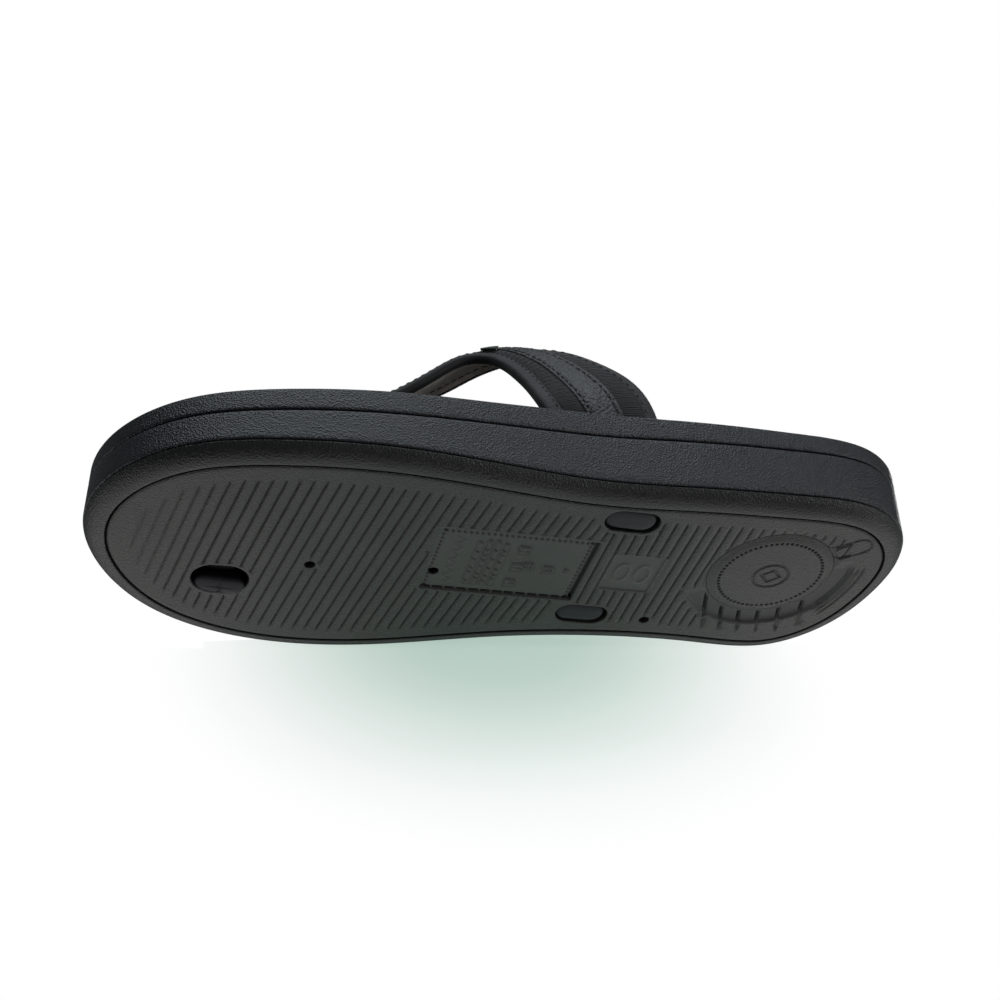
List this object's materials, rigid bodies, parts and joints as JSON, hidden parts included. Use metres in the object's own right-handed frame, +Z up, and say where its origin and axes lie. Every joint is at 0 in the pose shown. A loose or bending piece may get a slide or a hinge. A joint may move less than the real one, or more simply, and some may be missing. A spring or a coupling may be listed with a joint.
{
  "type": "flip flop",
  "caption": "Left thong sandal with a thick layered sole, ribbed tread, heel medallion and a wide padded textile strap on a toe post.",
  "frame": {"origin": "on the ground under the middle of the sandal's overall box", "axes": "+Z up, toe towards -Y and heel towards +Y, outer (little-toe) side of the left foot towards +X"},
  "size_m": [0.1148, 0.2945, 0.0983],
  "materials": {
    "outsole_rubber": "dark grey moulded rubber, fine leather-like grain, satin",
    "tread_rubber": "dark warm grey moulded rubber, fine grain, matt",
    "midsole_foam": "dark blue-grey foam with a pebbled skin",
    "footbed_foam": "dark blue-grey foam with a pebbled skin",
    "footbed_cover": "black nubuck-like sheet",
    "plug_plastic": "smooth dark grey moulded plastic",
    "post_plastic": "black flexible moulded plastic",
    "webbing": "black woven webbing",
    "ribbed_textile": "black ribbed knit",
    "strap_padding": "dark soft foam",
    "lining": "grey-brown nubuck lining",
    "overlay_leather": "black pebbled leather-like overlay",
    "binding": "black satin edge binding"
  },
  "bodies": {
    "root": {"outsole": "outsole_rubber", "tread_panel": "tread_rubber", "midsole": "midsole_foam", "footbed": "footbed_foam", "footbed_cover": "footbed_cover", "heel_disc": "tread_rubber", "outer_plug": "plug_plastic", "inner_plug": "plug_plastic", "toe_plug": "plug_plastic", "outer_tongue": "webbing", "inner_tongue": "webbing", "toe_post": "post_plastic", "outer_upper": "ribbed_textile", "outer_padding": "strap_padding", "outer_lining": "lining", "outer_overlay": "overlay_leather", "outer_front_binding": "binding", "outer_rear_binding": "binding", "inner_upper": "ribbed_textile", "inner_padding": "strap_padding", "inner_lining": "lining", "inner_overlay": "overlay_leather", "inner_front_binding": "binding", "inner_rear_binding": "binding"}
  },
  "joints": []
}
